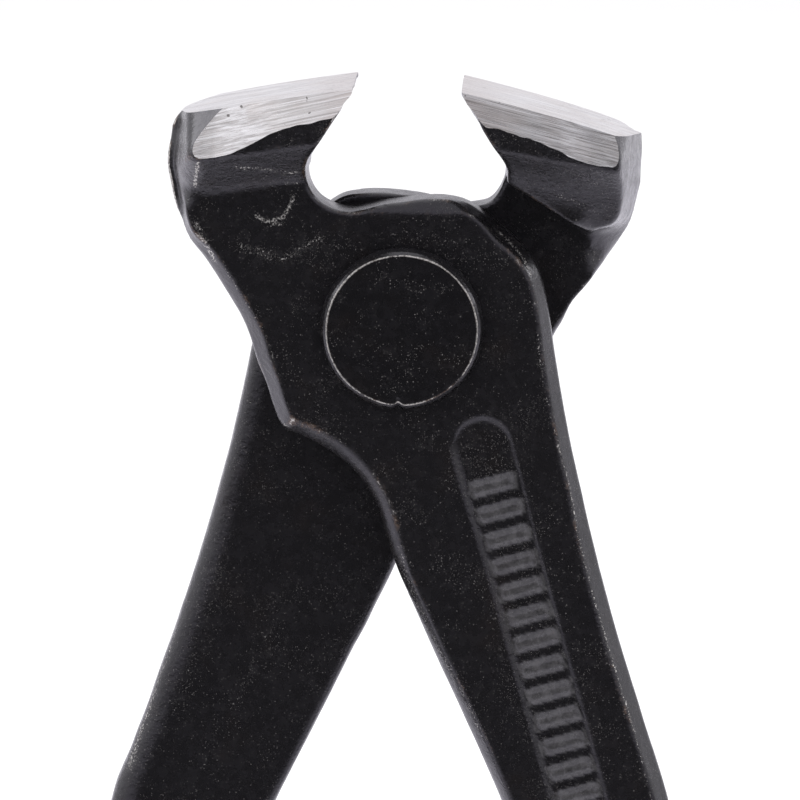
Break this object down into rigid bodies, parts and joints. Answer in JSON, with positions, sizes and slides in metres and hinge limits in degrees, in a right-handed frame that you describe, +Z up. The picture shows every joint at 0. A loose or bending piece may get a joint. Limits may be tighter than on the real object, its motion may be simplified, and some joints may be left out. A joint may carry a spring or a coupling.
{
  "type": "end-cutting nippers",
  "caption": "End-cutting nippers for fence wire: two forged lapped halves with straight ground cutting jaws, turning on one large flat-headed rivet.",
  "frame": {"origin": "on the pivot axis, at the centre of the flat face of the front rivet head", "axes": "+Z up towards the cutting jaws along the tool's middle line, +Y from the front rivet head to the back along the pivot axis, +X to the right seen from the front"},
  "size_m": [0.1336, 0.022, 0.1945],
  "materials": {
    "front_half": "satin black lacquer over forged steel, edges worn, cutting faces ground bright",
    "rear_half": "satin black lacquer over forged steel, edges worn, cutting faces ground bright",
    "pivot_rivet": "satin black lacquer, edge of the head worn to bare steel with a trace of rust"
  },
  "bodies": {
    "front": {"front_half": "front_half", "pivot_rivet": "pivot_rivet"},
    "rear": {"rear_half": "rear_half"}
  },
  "joints": [
    {"name": "pivot", "type": "hinge", "parent": "front", "child": "rear", "pos_m": [0, 0.00855, 0], "axis": [0, 1, 0], "range_deg": [-25.2, 50]}
  ]
}
